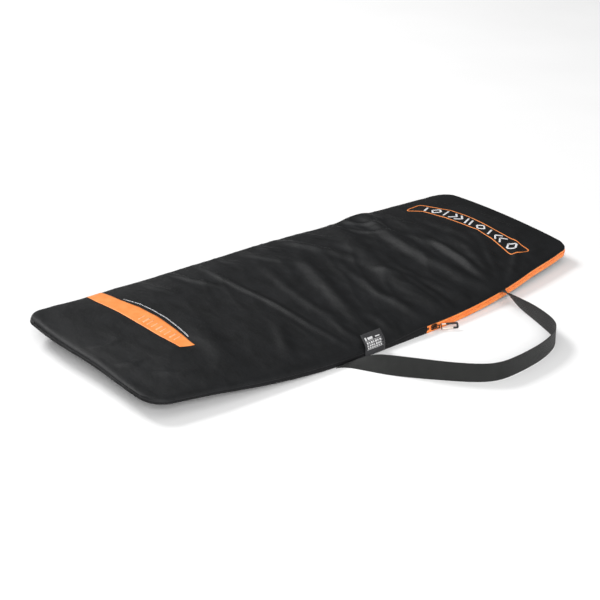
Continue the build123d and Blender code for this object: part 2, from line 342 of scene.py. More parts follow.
def panel_grid(inset, step, count, extra=0.0):
    xs = stations(inset, extra, step)
    rows = cross_rows(count)
    x = np.repeat(xs[:, None], len(rows), axis=1)
    fraction = np.repeat(rows[None, :], len(xs), axis=0)
    side = np.where(fraction < 0, -1, 1)
    y = fraction * (half_width(x, side) - edge_inset(inset, extra, x, side))
    bow = END_BULGE * (1 - fraction ** 2) * np.clip((np.abs(x) - 0.6) / 0.125, 0, 1)
    return x + np.sign(x) * bow, y


def with_height(x, y, z):
    return np.stack([x, y, z], axis=-1)


# ------------------------------------------------------------------ the outline as a path
def outline_path(step=0.004):
    """Points and outward normals round the bag, from the zip's start towards the sewn end."""
    quarter = np.linspace(0, 1, 16)

    def side(x0, x1, sign):
        xs = np.linspace(x0, x1, max(2, int(abs(x1 - x0) / step)))
        return [(x, sign * float(side_y(x))) for x in xs]

    def corner_x(end, sign):
        return HALF_LENGTH - END_BULGE - CORNER_R[end, sign]

    def corner(end, sign, reverse):
        radius = CORNER_R[end, sign]
        cx = HALF_LENGTH - END_BULGE - radius
        cy = float(side_y(end * cx)) - radius
        turn = [(end * (cx + radius * math.sin(q * math.pi / 2)),
                 sign * (cy + radius * math.cos(q * math.pi / 2))) for q in quarter]
        return turn[::-1] if reverse else turn

    def end_edge(end, sign):
        flat = [float(side_y(end * corner_x(end, s))) - CORNER_R[end, s] for s in (-sign, sign)]
        ys = np.linspace(-flat[0] * sign, flat[1] * sign, int(sum(flat) / step))[1:-1]
        return [(end * (HALF_LENGTH - END_BULGE * (y / max(flat)) ** 2), y) for y in ys]

    loop = side(ZIP_START_X, -corner_x(-1, -1), -1)
    loop += corner(-1, -1, False)[1:] + end_edge(-1, 1) + corner(-1, 1, True)
    loop += side(-corner_x(-1, 1), FOLD_X, 1)[1:]
    fold_far = len(loop) - 1
    loop += side(FOLD_X, corner_x(1, 1), 1)[1:]
    loop += corner(1, 1, False)[1:] + end_edge(1, -1) + corner(1, -1, True)
    loop += side(corner_x(1, -1), ZIP_START_X, -1)[1:]
    points = np.array(loop)
    tangent = np.gradient(points, axis=0)
    tangent /= np.linalg.norm(tangent, axis=1)[:, None]
    normals = np.stack([tangent[:, 1], -tangent[:, 0]], axis=1)
    outward = np.sign((normals * points).sum(axis=1))[:, None]
    return points, normals * outward, fold_far


PATH, NORMALS, FOLD_FAR = outline_path()
SEWN_STRETCH = slice(0, FOLD_FAR + 1)
ZIP_STRETCH = slice(FOLD_FAR, len(PATH))
WHOLE = slice(0, len(PATH))


def sweep_outline(name, stretch, profile, ripple=0.0, centre=None):
    """Carries a closed profile of (out, up) along a stretch of the outline.

    With a centre, up is measured from that level of the edge and keeps its size.
    """
    points = PATH[stretch]
    normals = NORMALS[stretch]
    closed = stretch == WHOLE
    if closed:
        points, normals = points[:-1], normals[:-1]
    count = len(profile)
    verts = []
    for k, (p, n) in enumerate(zip(points, normals)):
        wave = ripple * noise.noise(Vector((p[0] * 30, p[1] * 30, 1.7)))
        middle = None if centre is None else float(level(p[0], p[1], centre))
        for out, up in profile:
            push = out + wave * math.sin(math.pi * min(max((up - 0.002) / 0.02, 0), 1))
            z = float(level(p[0], p[1], up)) if centre is None else middle + up
            verts.append((p[0] + n[0] * push, p[1] + n[1] * push, z))
    rings = len(points)
    faces = []
    for i in range(rings if closed else rings - 1):
        a, b = i * count, ((i + 1) % rings) * count
        for j in range(count):
            k = (j + 1) % count
            faces.append([a + j, a + k, b + k, b + j])
    if not closed:
        faces.append(list(range(count))[::-1])
        faces.append([(rings - 1) * count + j for j in range(count)])
    obj = new_object(name, verts, faces)
    fix_normals(obj)
    return obj


def fix_normals(obj):
    import bmesh
    work = bmesh.new()
    work.from_mesh(obj.data)
    bmesh.ops.recalc_face_normals(work, faces=work.faces)
    work.to_mesh(obj.data)
    work.free()


def round_profile(out, up, radius, sides=10):
    turns = [2 * math.pi * k / sides for k in range(sides)]
    return [(out + radius * math.cos(a), up + radius * math.sin(a)) for a in turns]


# ------------------------------------------------------------------ materials
def linear(r, g, b):
    def channel(c):
        return (c / 255 / 12.92) if c <= 10 else ((c / 255 + 0.055) / 1.055) ** 2.4

    return channel(r), channel(g), channel(b), 1.0


class Material:
    """A node material whose base colour, roughness and bump come from procedural textures."""

    def __init__(self, name, roughness=0.7, specular=0.4, metallic=0.0, sheen=0.0, sheen_roughness=0.4):
        self.material = bpy.data.materials.new(name)
        self.material.use_nodes = True
        self.nodes = self.material.node_tree.nodes
        self.links = self.material.node_tree.links
        self.shader = self.nodes["Principled BSDF"]
        self.shader.inputs["Roughness"].default_value = roughness
        self.shader.inputs["Specular IOR Level"].default_value = specular
        self.shader.inputs["Metallic"].default_value = metallic
        self.shader.inputs["Sheen Weight"].default_value = sheen
        self.shader.inputs["Sheen Roughness"].default_value = sheen_roughness
        self.height = None

    def add(self, kind, **values):
        node = self.nodes.new(kind)
        for key, value in values.items():
            if key in node.inputs:
                node.inputs[key].default_value = value
            else:
                setattr(node, key, value)
        return node

    def coordinates(self, scale=(1, 1, 1), source="Object"):
        place = self.add("ShaderNodeTexCoord")
        mapping = self.add("ShaderNodeMapping")
        mapping.inputs["Scale"].default_value = scale
        self.links.new(place.outputs[source], mapping.inputs["Vector"])
        return mapping.outputs["Vector"]

    def noise(self, scale, detail=3, stretch=(1, 1, 1)):
        node = self.add("ShaderNodeTexNoise", Scale=scale, Detail=detail)
        self.links.new(self.coordinates(stretch), node.inputs["Vector"])
        return node.outputs["Fac"]

    def wave(self, scale, axis, distortion=0.0, source="Object"):
        node = self.add("ShaderNodeTexWave", Scale=scale, Distortion=distortion, bands_direction=axis)
        node.inputs["Detail Scale"].default_value = 2.0
        self.links.new(self.coordinates(source=source), node.inputs["Vector"])
        return node.outputs["Fac"]

    def math(self, operation, a, b):
        node = self.add("ShaderNodeMath", operation=operation)
        for socket, value in zip(node.inputs, (a, b)):
            if isinstance(value, (int, float)):
                socket.default_value = value
            else:
                self.links.new(value, socket)
        return node.outputs[0]

    def colour(self, factor, dark, light, low=0.3, high=0.7):
        ramp = self.add("ShaderNodeValToRGB")
        ramp.color_ramp.elements[0].position = low
        ramp.color_ramp.elements[1].position = high
        ramp.color_ramp.elements[0].color = dark
        ramp.color_ramp.elements[1].color = light
        self.links.new(factor, ramp.inputs["Fac"])
        self.links.new(ramp.outputs["Color"], self.shader.inputs["Base Color"])

    def rough(self, factor, low, high):
        spread = self.add("ShaderNodeMapRange")
        spread.inputs["To Min"].default_value = low
        spread.inputs["To Max"].default_value = high
        self.links.new(factor, spread.inputs["Value"])
        self.links.new(spread.outputs["Result"], self.shader.inputs["Roughness"])

    def bump(self, height, distance, strength=1.0):
        node = self.add("ShaderNodeBump", Strength=strength, Distance=distance)
        self.links.new(height, node.inputs["Height"])
        if self.height is not None:
            self.links.new(self.height, node.inputs["Normal"])
        self.height = node.outputs["Normal"]
        self.links.new(self.height, self.shader.inputs["Normal"])


def woven(name, dark, light, thread=0.0007, bump=0.00012, cloud=18, crumple=0.0006, **look):
    """Plain weave: two crossed sets of threads with cloudy colour."""
    m = Material(name, **look)
    scale = math.pi / (10 * thread) / 2
    warp = m.wave(scale, "X")
    weft = m.wave(scale, "Y")
    weave = m.math("MULTIPLY", warp, weft)
    cloudy = m.noise(cloud, 4)
    fuzz = m.noise(900, 2)
    tone = m.math("ADD", m.math("MULTIPLY", cloudy, 0.75), m.math("MULTIPLY", fuzz, 0.25))
    m.colour(tone, dark, light, 0.32, 0.68)
    base = look.get("roughness", 0.7)
    m.rough(cloudy, base - 0.06, base + 0.08)
    m.bump(m.noise(26, 5, stretch=(1.5, 0.8, 1)), crumple, 0.5)
    m.bump(weave, bump, 0.7)
    return m.material


FABRIC = woven("outer_fabric", linear(13, 14, 15), linear(21, 22, 24), roughness=0.55, specular=0.25,
               crumple=0.0026)
WALL_FABRIC = woven("wall_fabric", linear(14, 14, 15), linear(21, 21, 23), roughness=0.58, specular=0.18)
LINING = woven("lining_cloth", linear(70, 72, 76), linear(92, 94, 98), roughness=0.7, specular=0.3, sheen=0.1)
BINDING = woven("seam_binding", linear(16, 16, 17), linear(26, 26, 28), thread=0.0005, roughness=0.62,
                specular=0.35)
TAPE = woven("zip_tape", linear(244, 128, 52), linear(255, 158, 84), thread=0.0006, cloud=40, roughness=0.62,
             specular=0.35, sheen=0.15)
PRINT = woven("orange_print", linear(248, 140, 66), linear(255, 160, 88), cloud=30, bump=0.00006, roughness=0.5,
              specular=0.4)
PALE_PRINT = woven("pale_print", linear(250, 176, 122), linear(255, 192, 146), cloud=30, bump=0.00006, roughness=0.5,
                   specular=0.4)
WHITE_PRINT = woven("white_print", linear(214, 214, 216), linear(238, 238, 240), bump=0.00006, roughness=0.5,
                    specular=0.4)
LABEL = woven("tag_cloth", linear(42, 42, 44), linear(60, 60, 62), thread=0.0004, roughness=0.7, specular=0.3,
              sheen=0.1)
LABEL_MARK = woven("tag_marks", linear(196, 196, 198), linear(232, 232, 232), thread=0.0004, roughness=0.7)
CORD = woven("cord_braid", linear(222, 206, 186), linear(246, 238, 226), thread=0.0006, cloud=120, bump=0.0002,
             roughness=0.75, sheen=0.2)
FOAM = woven("foam", linear(60, 61, 64), linear(84, 85, 88), roughness=0.85, specular=0.2)


def make_coil_material():
    m = Material("coil_nylon", roughness=0.38, specular=0.5)
    m.colour(m.noise(300, 2), linear(232, 116, 44), linear(255, 156, 88))
    m.bump(m.noise(1400, 2), 0.00005, 0.5)
    return m.material


def make_metal(name, dark, light, roughness):
    m = Material(name, roughness=roughness, specular=0.5, metallic=0.6)
    patches = m.noise(160, 4)
    m.colour(patches, dark, light)
    m.rough(patches, roughness - 0.08, roughness + 0.14)
    m.bump(m.noise(900, 3), 0.00005, 0.5)
    return m.material


def make_rubber():
    m = Material("grip_rubber", roughness=0.5, specular=0.45)
    m.colour(m.noise(200, 3), linear(22, 21, 24), linear(36, 34, 38))
    m.bump(m.noise(1100, 3), 0.00008, 0.6)
    return m.material


def make_webbing(name, dark, light):
    """Ribs run along the webbing (V of its map), picks run across it (U)."""
    m = Material(name, roughness=0.62, specular=0.3, sheen=0.08)
    ribs = m.wave(10.0, "Y", source="UV")
    picks = m.wave(140.0, "X", source="UV")
    weave = m.math("MULTIPLY", m.math("ADD", ribs, 0.6), m.math("ADD", picks, 0.5))
    tone = m.math("ADD", m.math("MULTIPLY", m.noise(30, 4), 0.7), m.math("MULTIPLY", weave, 0.25))
    m.colour(tone, dark, light, 0.25, 0.75)
    m.bump(weave, 0.00035, 0.8)
    m.bump(m.noise(800, 2), 0.0001, 0.4)
    return m.material


COIL = make_coil_material()
METAL = make_metal("slider_metal", linear(60, 36, 24), linear(96, 62, 44), 0.35)
RUBBER = make_rubber()
WEBBING = make_webbing("webbing", linear(17, 18, 17), linear(32, 33, 32))
# a darker copy of the same webbing for the strap's back face: painted shade on that side
WEBBING_PAINTED_SHADE = make_webbing("webbing_back", linear(6, 6, 6), linear(14, 14, 14))


def dress(obj, material):
    obj.data.materials.clear()
    obj.data.materials.append(material)
    return obj


def across_fold(obj):
    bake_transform(obj)


# ------------------------------------------------------------------ camera, floor, light
CAMERA_AZIMUTH = math.radians(-39.04)
CAMERA_ELEVATION = math.radians(25.14)
CAMERA_DISTANCE = 3.793
CAMERA_TARGET = Vector((-0.046, 0.019, 0))


def make_camera():
    data = bpy.data.cameras.new("camera")
    data.lens = 84
    data.sensor_width = 36
    obj = bpy.data.objects.new("camera", data)
    bpy.context.collection.objects.link(obj)
    back = Vector((
        math.sin(CAMERA_AZIMUTH) * math.cos(CAMERA_ELEVATION),
        -math.cos(CAMERA_AZIMUTH) * math.cos(CAMERA_ELEVATION),
        math.sin(CAMERA_ELEVATION)))
    obj.location = CAMERA_TARGET + back * CAMERA_DISTANCE
    obj.rotation_euler = (-back).to_track_quat("-Z", "Y").to_euler()
    bpy.context.scene.camera = obj


def make_light(name, place, size, power, target=(0, 0, 0)):
    data = bpy.data.lights.new(name, "AREA")
    data.shape = "RECTANGLE"
    data.size, data.size_y = size
    data.energy = power
    obj = bpy.data.objects.new(name, data)
    bpy.context.collection.objects.link(obj)
    obj.location = place
    obj.rotation_euler = (Vector(target) - Vector(place)).to_track_quat("-Z", "Y").to_euler()


def make_stage():
    reach = 30.0
    corners = [(-reach, -reach, 0), (reach, -reach, 0), (reach, reach, 0), (-reach, reach, 0)]
    floor = new_object("floor", corners, [[0, 1, 2, 3]], rounded=False, slack=False)
    m = Material("floor", roughness=0.9, specular=0.1)
    m.colour(m.noise(2, 2), (0.93, 0.93, 0.93, 1), (0.95, 0.95, 0.95, 1))
    floor.data.materials.append(m.material)
    world = bpy.data.worlds.new("world")
    world.use_nodes = True
    nodes, links = world.node_tree.nodes, world.node_tree.links
    place = nodes.new("ShaderNodeTexCoord")
    toward = nodes.new("ShaderNodeVectorMath")
    toward.operation = "DOT_PRODUCT"
    toward.inputs[1].default_value = Vector((-0.42, -0.40, 0.81)).normalized()
    glow = nodes.new("ShaderNodeMapRange")
    glow.interpolation_type = "SMOOTHSTEP"
    glow.inputs["From Min"].default_value = 0.10
    glow.inputs["From Max"].default_value = 1.0
    glow.inputs["To Min"].default_value = 0.10
    glow.inputs["To Max"].default_value = 0.85
    links.new(place.outputs["Generated"], toward.inputs[0])
    links.new(toward.outputs["Value"], glow.inputs["Value"])
    links.new(glow.outputs["Result"], nodes["Background"].inputs["Strength"])
    nodes["Background"].inputs["Color"].default_value = (1.0, 1.0, 1.0, 1)
    bpy.context.scene.world = world
    make_light("key", (-3.0, -4.8, 2.9), (3.4, 2.8), 260)
    make_light("back", (-1.2, 5.2, 5.0), (2.8, 2.2), 330)
    bpy.context.scene.view_settings.view_transform = "Standard"


# ------------------------------------------------------------------ panels
def make_top_panel():
    fine = 0.006
    x, y = panel_grid(0.0, fine, int(0.66 / fine))
    z = top_height(x, y)
    cover = closed_panel("top_cover", with_height(x, y, z), with_height(x, y, z - COVER_THICK))
    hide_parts("top_shell_rear", "top_shell_flap")
    dress(cover, FABRIC)
    across_fold(cover)

    x, y = panel_grid(0.0045, 0.012, 56, extra=0.018)
    cover_z = top_height(x, y)
    thin = 1 - PINCH_THIN * pinched(x)
    layers = (
        ("top_padding", 0.0020, 0.0070, FOAM, "foam", "top_foam"),
        ("top_lining", 0.0073, 0.0081, LINING, "lining", "top_lining"),
    )
    for name, high, low, material, slot_name, node in layers:
        upper = with_height(x, y, cover_z - high * thin)
        lower = with_height(x, y, cover_z - low * thin)
        piece = closed_panel(name + "_cloth", upper, lower)
        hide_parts(node + "_rear", node + "_flap")
        dress(piece, material)
        across_fold(piece)


def make_bottom_panel():
    levels = (
        ("bottom_cover", 0.0, 0.0, 0.0012, FABRIC, "outer_fabric", "bottom_shell"),
        ("bottom_padding", 0.0036, 0.0016, 0.0066, FOAM, "foam", "bottom_foam"),
        ("bottom_lining_cloth", 0.0036, 0.0069, 0.0077, LINING, "lining", "bottom_lining"),
    )
    for name, inset, low, high, material, slot_name, node in levels:
        x, y = panel_grid(inset, 0.012, 56)
        base = bottom_z(x)
        thin = 1 - PINCH_THIN * pinched(x)
        piece = closed_panel(name, with_height(x, y, base + high * thin), with_height(x, y, base + low * thin))
        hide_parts(node)
        dress(piece, material)
        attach(piece, "bag")


# ------------------------------------------------------------------ edge: wall, bindings, zip
def make_edges():
    wall = sweep_outline("side_wall_cloth", SEWN_STRETCH, [
        (-0.0012, 0.0026), (0.0004, 0.0030), (0.0014, 0.0070), (0.0018, 0.0115), (0.0016, 0.0165),
        (0.0006, 0.0210), (-0.0010, 0.0216), (-0.0014, 0.0165), (-0.0014, 0.0080)], ripple=0.0022)
    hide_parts("side_wall")
    dress(wall, WALL_FABRIC)
    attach(wall, "bag")

    low = sweep_outline("lower_binding", WHOLE, round_profile(-0.0013, 0.0, 0.0014), centre=0.0022)
    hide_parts("lower_piping")
    dress(low, BINDING)
    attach(low, "bag")

    high = sweep_outline("upper_binding", WHOLE, round_profile(-0.0002, 0.0, 0.0015), centre=0.0213)
    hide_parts("upper_piping_rear", "upper_piping_flap")
    dress(high, BINDING)
    across_fold(high)

    upper = sweep_outline("zip_tape_upper", ZIP_STRETCH, [
        (-0.0010, 0.0125), (0.0002, 0.0125), (0.0008, 0.0150), (0.0006, 0.0198), (-0.0004, 0.0206),
        (-0.0012, 0.0200)])
    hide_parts("zip_upper_tape_rear", "zip_upper_tape_flap")
    dress(upper, TAPE)
    across_fold(upper)

    lower = sweep_outline("zip_tape_lower", ZIP_STRETCH, [
        (-0.0010, 0.0117), (0.0002, 0.0117), (0.0008, 0.0092), (0.0013, 0.0040), (0.0012, 0.0010), (0.0002, 0.0006),
        (-0.0006, 0.0040)])
    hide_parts("zip_lower_tape")
    dress(lower, TAPE)
    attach(lower, "bag")


TOOTH_PITCH = 0.0029
TOOTH_WIDE = 0.0017


def tooth_points(out_root, out_tip, root, tip):
    """Half outline of a coil loop seen from the end: (out, up) from root to tip."""
    lift = (tip - root)
    return [
        (out_root, root), (out_tip, root + 0.12 * lift), (out_tip + 0.0003, root + 0.55 * lift),
        (out_tip, root + 0.9 * lift), (out_root + 0.0004, tip), (out_root, root + 0.8 * lift)]


def make_teeth(name, root, tip, phase):
    points = PATH[ZIP_STRETCH][2:-2]
    normals = NORMALS[ZIP_STRETCH][2:-2]
    steps = np.linalg.norm(np.diff(points, axis=0), axis=1)
    length = np.concatenate([[0], np.cumsum(steps)])
    profile = tooth_points(0.0007, 0.0023, root, tip)
    verts, faces = [], []
    count = len(profile)
    for k in range(int((length[-1] - 0.004) / TOOTH_PITCH)):
        middle = (k + phase) * TOOTH_PITCH + 0.002
        for edge in (-0.5, 0.5):
            at = middle + edge * TOOTH_WIDE
            p = [np.interp(at, length, points[:, i]) for i in (0, 1)]
            n = [np.interp(at, length, normals[:, i]) for i in (0, 1)]
            verts += [(p[0] + n[0] * o, p[1] + n[1] * o, float(level(p[0], p[1], u))) for o, u in profile]
        start = len(verts) - 2 * count
        for j in range(count):
            i = (j + 1) % count
            faces.append([start + j, start + i, start + count + i, start + count + j])
        faces.append([start + j for j in range(count)][::-1])
        faces.append([start + count + j for j in range(count)])
    obj = new_object(name, verts, faces, rounded=False)
    fix_normals(obj)
    return obj


def make_coil():
    low = make_teeth("zip_teeth_lower", 0.0096, 0.0128, 0.0)
    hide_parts("zip_lower_coil")
    dress(low, COIL)
    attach(low, "bag")
    high = make_teeth("zip_teeth_upper", 0.0147, 0.0115, 0.5)
    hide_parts("zip_upper_coil_rear", "zip_upper_coil_flap")
    dress(high, COIL)
    across_fold(high)


# ------------------------------------------------------------------ printed marks
def decal(name, rows, lift=0.0005, thick=0.0003):
    """A thin printed film on the cover; rows is a grid of (x, y)."""
    grid = np.array(rows, float)
    x, y = grid[..., 0], grid[..., 1]
    z = top_height(x, y) + lift
    return closed_panel(name, with_height(x, y, z), with_height(x, y, z - thick))


BAND_LEFT = [(-0.541, 0.315), (-0.543, 0.243), (-0.538, 0.171), (-0.534, 0.094), (-0.533, 0.028),
             (-0.532, -0.033), (-0.526, -0.108)]
BAND_RIGHT = [(-0.495, 0.315), (-0.490, 0.212), (-0.477, 0.145), (-0.473, 0.069), (-0.480, -0.025),
              (-0.488, -0.104)]
DASH_LINE = [(-0.482, 0.215), (-0.466, 0.162), (-0.461, 0.114), (-0.461, 0.052), (-0.470, -0.019),
             (-0.481, -0.089)]


def x_on(line, y):
    """x of a line of (x, y) points at y."""
    points = sorted(line, key=lambda p: p[1])
    return float(np.interp(y, [p[1] for p in points], [p[0] for p in points]))


def make_prints():
    far = float(half_width(-0.51, 1)) - 0.0005
    rows = []
    for t in np.linspace(0, 1, 90):
        left_y = far + (-0.108 - far) * t
        right_y = far + (-0.119 - far) * t
        left, right = x_on(BAND_LEFT, left_y), x_on(BAND_RIGHT, right_y)
        rows.append([(left + (right - left) * u, left_y + (right_y - left_y) * u) for u in np.linspace(0, 1, 14)])
    band = decal("print_band", rows)
    dress(band, PRINT)
    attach(band, "bag")

    dashes = []
    y = 0.215
    for k in range(46):
        long = (0.0046, 0.0030, 0.0054, 0.0038)[k % 4]
        wide = 0.0036 if k % 5 else 0.0024
        rows = [[(x_on(DASH_LINE, q) + u, q) for u in (0, wide)] for q in (y, y - long)]
        dashes.append(decal(f"dash_{k}", rows))
        y -= long + 0.0022
    line = join("print_dashes", dashes)
    dress(line, WHITE_PRINT)
    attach(line, "bag")

    slashes = []
    for k in range(9):
        y = 0.085 - 0.019 * k
        wide = 0.0075 if k % 3 == 1 else 0.0040
        slashes.append(decal(f"slash_{k}", [
            [(x_on(BAND_LEFT, y) + 0.013 + u * 0.026, y + 0.007 * u + q) for u in np.linspace(0, 1, 6)]
            for q in (0, -wide)], lift=0.0008))
    pale = join("print_band_slashes", slashes)
    dress(pale, PALE_PRINT)
    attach(pale, "bag")


def join(name, parts):
    verts, faces = [], []
    for part in parts:
        start = len(verts)
        verts += [tuple(v.co) for v in part.data.vertices]
        faces += [[start + i for i in p.vertices] for p in part.data.polygons]
        bpy.data.objects.remove(part, do_unlink=True)
    return new_object(name, verts, faces, slack=False)


BOX_LOW = [(0.531, -0.219), (0.533, -0.200), (0.556, -0.121), (0.570, -0.040), (0.567, 0.025), (0.560, 0.103),
           (0.557, 0.172), (0.535, 0.214)]
BOX_HIGH = [(0.598, -0.216), (0.606, -0.097), (0.616, 0.037), (0.615, 0.110), (0.604, 0.150), (0.597, 0.195),
            (0.590, 0.226)]
BOX_ENDS = (-0.219, 0.224)
BOX_WIDE = 0.056
BOX_CORNER = 0.010
BOX_LINE = 0.0036


def in_box(across, y):
    """A point of the cover from its place in the printed box: across runs 0 to BOX_WIDE."""
    low, high = x_on(BOX_LOW, y), x_on(BOX_HIGH, y)
    return low + (high - low) * across / BOX_WIDE, y


def rounded_rectangle(grow):
    y0, y1 = BOX_ENDS
    radius = BOX_CORNER
    points = []
    for cx, cy, start in ((BOX_WIDE - radius, y1 - radius, 0), (radius, y1 - radius, 90),
                          (radius, y0 + radius, 180), (BOX_WIDE - radius, y0 + radius, 270)):
        for step in range(7):
            a = math.radians(start + 15 * step)
            points.append((cx + (radius + grow) * math.cos(a), cy + (radius + grow) * math.sin(a)))
    dense = []
    for p, q in zip(points, points[1:] + points[:1]):
        count = max(1, int(math.dist(p, q) / 0.006))
        dense += [(p[0] + (q[0] - p[0]) * k / count, p[1] + (q[1] - p[1]) * k / count) for k in range(count)]
    return [in_box(*p) for p in dense]


def stroke(name, a, b, wide):
    """A printed stroke from a to b, both (across, y) in the box."""
    a, b = np.array(a), np.array(b)
    d = (b - a) / np.linalg.norm(b - a)
    side = np.array((-d[1], d[0])) * wide / 2
    count = max(2, int(math.dist(a, b) / 0.006) + 1)
    rows = [[in_box(*(a + (b - a) * t + side * s)) for s in (-1, 1)] for t in np.linspace(0, 1, count)]
    return decal(name, rows)


def make_box_print():
    centre_line = np.array(rounded_rectangle(0.0))
    tangent = np.roll(centre_line, -1, axis=0) - np.roll(centre_line, 1, axis=0)
    tangent /= np.linalg.norm(tangent, axis=1)[:, None]
    normal = np.stack([tangent[:, 1], -tangent[:, 0]], axis=1)
    count = len(centre_line)
    loops = [centre_line + normal * o for o in (-BOX_LINE / 2, BOX_LINE / 2)]
    verts = []
    for drop in (0.0, 0.0003):
        for loop in loops:
            z = top_height(loop[:, 0], loop[:, 1]) + 0.0005 - drop
            verts += [(x, y, h) for (x, y), h in zip(loop, z)]
    faces = []
    for i in range(count):
        k = (i + 1) % count
        for a, b in ((0, 1), (1, 3), (3, 2), (2, 0)):
            faces.append([a * count + i, b * count + i, b * count + k, a * count + k])
    frame_line = new_object("print_frame", verts, faces)
    fix_normals(frame_line)
    dress(frame_line, PRINT)
    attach(frame_line, "flap")

    # plain strokes, chevrons and diamonds in place of lettering
    low, high = 0.010, BOX_WIDE - 0.010
    middle = (low + high) / 2
    wide = 0.0062
    parts = []

    def diamond(y):
        corners = [(low, y), (middle, y - 0.016), (high, y), (middle, y + 0.016)]
        for k in range(4):
            parts.append(stroke(f"diamond_{len(parts)}", corners[k], corners[(k + 1) % 4], wide))

    def chevron(y, lean):
        parts.append(stroke(f"chevron_{len(parts)}", (low, y), (middle, y + lean), wide))
        parts.append(stroke(f"chevron_{len(parts)}", (middle, y + lean), (high, y), wide))

    def slash(y, lean):
        parts.append(stroke(f"slash_{len(parts)}", (low, y), (high, y + lean), wide))

    diamond(-0.176)
    chevron(-0.138, 0.018)
    chevron(-0.116, 0.018)
    slash(-0.080, 0.012)
    diamond(-0.034)
    slash(0.000, 0.012)
    slash(0.018, 0.012)
    chevron(0.060, -0.018)
    chevron(0.082, -0.018)
    slash(0.100, 0.012)
    diamond(0.142)
    slash(0.174, 0.012)
    marks = join("print_strokes", parts)
    dress(marks, WHITE_PRINT)
    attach(marks, "flap")


# ------------------------------------------------------------------ handle
STRAP_THICK = 0.002
STRAP_EDGES = [
    ((-205, -350, 1.2), (-157, -352, 9)),
    ((-176, -405, 1), (-140, -392, 32)),
    ((-145, -460, 1), (-124, -447, 44)),
    ((-104, -512, 1), (-96, -505, 50)),
    ((-65, -557, 1), (-62, -555, 51)),
    ((-25, -600, 1), (-24, -599, 51)),
    ((12, -630, 1), (12, -630, 51)),
    ((50, -643, 1), (50, -643, 51)),
    ((100, -643, 1), (100, -643, 51)),
    ((150, -639, 1), (150, -639, 51)),
    ((192, -633, 1), (192, -633, 51)),
    ((235, -622, 1), (235, -622, 51)),
    ((275, -605, 1), (275, -605, 51)),
    ((304, -583, 1), (302, -583, 51)),
    ((322, -553, 1), (319, -554, 51)),
    ((337, -512, 1), (332, -514, 51)),
    ((357, -455, 1), (345, -460, 49)),
    ((371, -400, 4), (351, -412, 46)),
    ((381, -362, 14), (359, -368, 42)),
    ((386, -330, 28), (366, -332, 32)),
]


def nurbs_points(route, resolution=10):
    """Points along the smooth curve that a route controls, in metres."""
    curve = bpy.data.curves.new("route", "CURVE")
    curve.dimensions = "3D"
    spline = curve.splines.new("NURBS")
    spline.points.add(len(route) - 1)
    for point, place in zip(spline.points, route):
        point.co = (*place, 1)
    spline.order_u = 3
    spline.use_endpoint_u = True
    spline.resolution_u = resolution
    obj = bpy.data.objects.new("route", curve)
    bpy.context.collection.objects.link(obj)
    mesh = bpy.data.meshes.new_from_object(obj)
    points = np.array([v.co[:] for v in mesh.vertices])
    bpy.data.objects.remove(obj, do_unlink=True)
    return points


STRAP_TUCK = ((-228, -345, 1.6), (-192, -346.5, 4.5))    # the sewn end, tucked in under the roll


def make_handle():
    edges = [STRAP_TUCK] + STRAP_EDGES
    low = nurbs_points([Vector(a) * MM for a, b in edges])
    high = nurbs_points([Vector(b) * MM for a, b in edges])
    middle = (low + high) / 2
    tangent = np.gradient(middle, axis=0)
    tangent /= np.linalg.norm(tangent, axis=1)[:, None]
    across = high - low
    normal = np.cross(tangent, across)
    normal /= np.linalg.norm(normal, axis=1)[:, None]
    # a rounded flat section: (fraction across, fraction of the thickness)
    section = [(0.0, 0.0), (0.012, 0.42), (0.05, 0.5), (0.2, 0.46), (0.5, 0.44), (0.8, 0.46), (0.95, 0.5),
               (0.988, 0.42), (1.0, 0.0)]
    section += [(s, -h) for s, h in section[-2:0:-1]]
    count = len(section)
    rings = len(middle)
    verts = []
    for p, a, n in zip(low, across, normal):
        for s, h in section:
            verts.append(p + a * s + n * (h * STRAP_THICK))
    faces = []
    for i in range(rings - 1):
        for j in range(count):
            k = (j + 1) % count
            faces.append([i * count + j, i * count + k, (i + 1) * count + k, (i + 1) * count + j])
    faces.append(list(range(count))[::-1])
    faces.append([(rings - 1) * count + j for j in range(count)])
    strap = new_object("carry_strap", verts, faces)
    fix_normals(strap)
    steps = np.linalg.norm(np.diff(middle, axis=0), axis=1)
    along = np.concatenate([[0], np.cumsum(steps)])
    layer = strap.data.uv_layers.new(name="weave")
    for polygon in strap.data.polygons:
        for index in polygon.loop_indices:
            vertex = strap.data.loops[index].vertex_index
            layer.data[index].uv = (along[vertex // count], section[vertex % count][0])
    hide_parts("carry_handle")
    dress(strap, WEBBING)
    # the strap's back face gets the darker copy of the webbing, which is painted shade
    strap.data.materials.append(WEBBING_PAINTED_SHADE)
    for polygon in strap.data.polygons:
        if np.mean([section[v % count][1] for v in polygon.vertices]) < -0.1:
            polygon.material_index = 1
    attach(strap, "handle")


